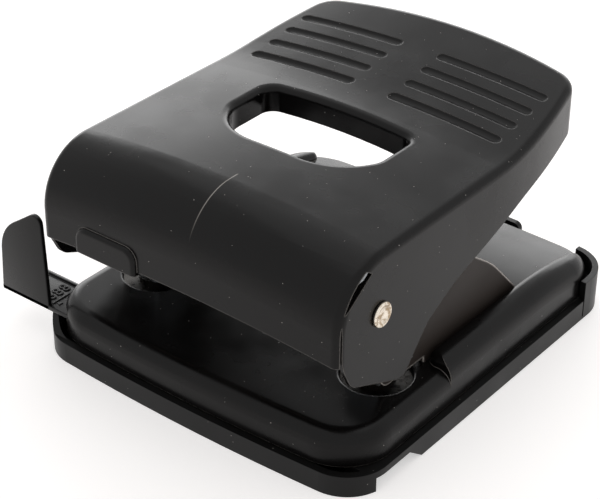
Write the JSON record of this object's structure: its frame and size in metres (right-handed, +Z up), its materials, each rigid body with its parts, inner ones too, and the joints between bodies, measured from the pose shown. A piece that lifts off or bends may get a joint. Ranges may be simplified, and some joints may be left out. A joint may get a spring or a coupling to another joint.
{
  "type": "desk hole punch",
  "caption": "Black steel two-hole desk punch with a wide lever, sliding paper guide and chad tray.",
  "frame": {"origin": "middle of the footprint, on the tray's flat underside that rests on the desk", "axes": "+Z up; +X to the right along the hinge axle, away from the paper guide's upright stop; +Y towards the free end of the lever, so paper goes in from -Y"},
  "size_m": [0.1343, 0.1322, 0.0759],
  "materials": {
    "black_enamel": "satin",
    "zinc_plate": "satin",
    "hard_steel": "polished",
    "spring_steel": "satin",
    "nickel": "polished",
    "black_plastic": "matte",
    "guide_plastic": "satin",
    "tray_plastic": "satin"
  },
  "bodies": {
    "base": {"base_cover": "black_enamel", "base_plate": "zinc_plate", "base_screws": "zinc_plate", "guide_channel": "black_plastic", "side_frame_left": "black_enamel", "side_frame_right": "black_enamel", "frame_rivets": "zinc_plate", "pin_guide_left": "zinc_plate", "pin_guide_right": "zinc_plate", "die_left": "hard_steel", "die_right": "hard_steel", "punch_spring_left": "spring_steel", "punch_spring_right": "spring_steel"},
    "lever": {"lever_shell": "black_enamel", "pivot_axle": "nickel", "axle_spacers": "zinc_plate", "press_bar": "zinc_plate"},
    "punch_left": {"punch_pin_left": "hard_steel", "pin_washer_left": "zinc_plate", "pin_clip_left": "spring_steel"},
    "punch_right": {"punch_pin_right": "hard_steel", "pin_washer_right": "zinc_plate", "pin_clip_right": "spring_steel"},
    "guide": {"paper_guide": "guide_plastic"},
    "tray": {"chad_tray": "tray_plastic"}
  },
  "joints": [
    {"name": "lever_hinge", "type": "hinge", "parent": "base", "child": "lever", "pos_m": [0, -0.047, 0.049], "axis": [-1, 0, 0], "range_deg": [0, 14], "stiffness_Nm_per_rad": 0.8, "springref_deg": -22.92},
    {"name": "punch_left_slide", "type": "slide", "parent": "base", "child": "punch_left", "axis": [0, 0, -1], "range_m": [0, 0.0042], "deforming": ["punch_spring_left"]},
    {"name": "punch_right_slide", "type": "slide", "parent": "base", "child": "punch_right", "axis": [0, 0, -1], "range_m": [0, 0.0042], "deforming": ["punch_spring_right"]},
    {"name": "guide_slide", "type": "slide", "parent": "base", "child": "guide", "axis": [-1, 0, 0], "range_m": [0, 0.07]},
    {"name": "tray_release", "type": "slide", "parent": "base", "child": "tray", "axis": [0, 0, -1], "range_m": [0, 0.02]}
  ],
  "couplings": [
    {"joint": "punch_left_slide", "follows": "lever_hinge", "m_per_rad": 0.0168},
    {"joint": "punch_right_slide", "follows": "lever_hinge", "m_per_rad": 0.0168}
  ]
}
